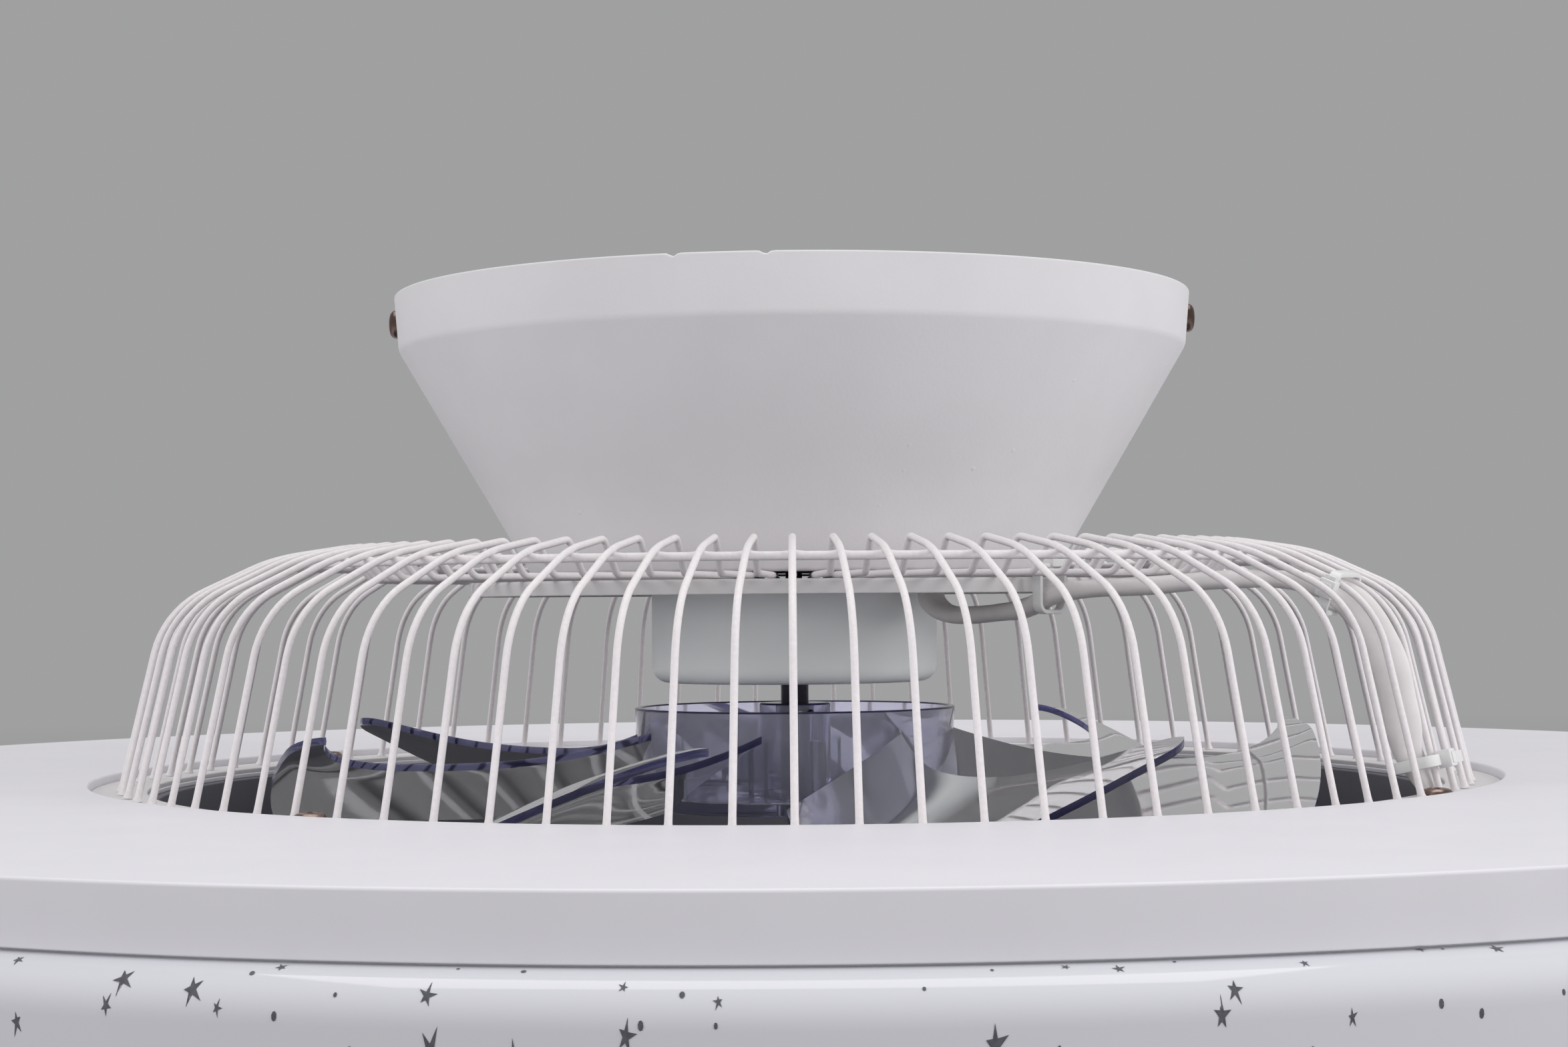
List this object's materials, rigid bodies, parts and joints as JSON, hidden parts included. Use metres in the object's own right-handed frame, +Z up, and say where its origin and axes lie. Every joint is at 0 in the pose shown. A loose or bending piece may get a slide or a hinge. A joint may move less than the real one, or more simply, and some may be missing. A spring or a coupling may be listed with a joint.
{
  "type": "low-profile caged ceiling fan with light ring",
  "caption": "Low-profile ceiling fan: a clear bladed wheel spins in a white wire cage under a conical canopy, ringed by a wide star-printed opal light ring.",
  "frame": {"origin": "middle of the cable hole, on the face that the ceiling bracket and canopy rim hold against the ceiling", "axes": "+Z up into the ceiling along the fan axis, -Y towards the viewer in the picture, +X to the right along the bracket strap"},
  "size_m": [0.595, 0.595, 0.194],
  "materials": {
    "bracket_zinc": "zinc plated, satin",
    "white_paint": "white powder coat, fine texture",
    "cage_paint": "white powder coat, semi-gloss",
    "motor_paint": "cool white, smooth satin",
    "screw_steel": "zinc plated",
    "screw_copper": "warm nickel plate with copper showing",
    "terminal_nylon": "natural nylon",
    "earth_brass": "plain brass",
    "box_plastic": "moulded, fine matt",
    "base_casting": "die cast, matt",
    "stator_laminations": "varnished steel sheets",
    "coil_copper": "enamelled copper",
    "bearing_steel": "ground and polished",
    "magnet_ferrite": "dark, matt",
    "shaft_steel": "blackened, polished",
    "clear_plastic": "clear, faint violet tint, polished",
    "inner_wall_paint": "dark grey, satin",
    "board_laminate": "white solder mask",
    "led_phosphor": "yellow phosphor",
    "opal_acrylic": "opal white, glossy, printed with small grey stars",
    "guard_plastic": "white moulding, semi-gloss",
    "sleeve_rubber": "white silicone sleeve, satin",
    "tie_nylon": "natural nylon, translucent"
  },
  "bodies": {
    "fixed": {"ceiling_bracket": "bracket_zinc", "canopy": "white_paint", "canopy_screws": "screw_steel", "terminal_block": "terminal_nylon", "earth_screw": "earth_brass", "receiver_box": "box_plastic", "receiver_lid": "box_plastic", "pan_screws": "screw_steel", "pan_nuts": "screw_steel", "cage_pan": "white_paint", "cage_wires_front": "cage_paint", "cage_wires_right": "cage_paint", "cage_wires_back": "cage_paint", "cage_wires_left": "cage_paint", "cage_hoop": "cage_paint", "cage_flange": "cage_paint", "flange_screws": "screw_copper", "motor_housing": "motor_paint", "motor_base": "base_casting", "motor_base_screws": "screw_steel", "motor_stator": "stator_laminations", "motor_coils": "coil_copper", "bearing_upper": "bearing_steel", "bearing_lower": "bearing_steel", "lamp_chassis": "white_paint", "inner_wall": "inner_wall_paint", "led_board": "board_laminate", "led_chips": "led_phosphor", "lamp_driver": "box_plastic", "diffuser": "opal_acrylic", "diffuser_clips": "screw_steel", "bottom_guard": "guard_plastic", "guard_screws": "screw_steel", "wiring_sleeve": "sleeve_rubber", "cable_ties": "tie_nylon"},
    "rotor": {"motor_magnets": "magnet_ferrite", "motor_shaft": "shaft_steel", "fan_wheel": "clear_plastic", "grub_screw": "screw_steel", "wheel_washer": "screw_steel", "wheel_screw": "screw_steel"}
  },
  "joints": [
    {"name": "fan_spin", "type": "hinge", "parent": "fixed", "child": "rotor", "pos_m": [0, 0, -0.1], "axis": [0, 0, 1], "continuous": true}
  ]
}
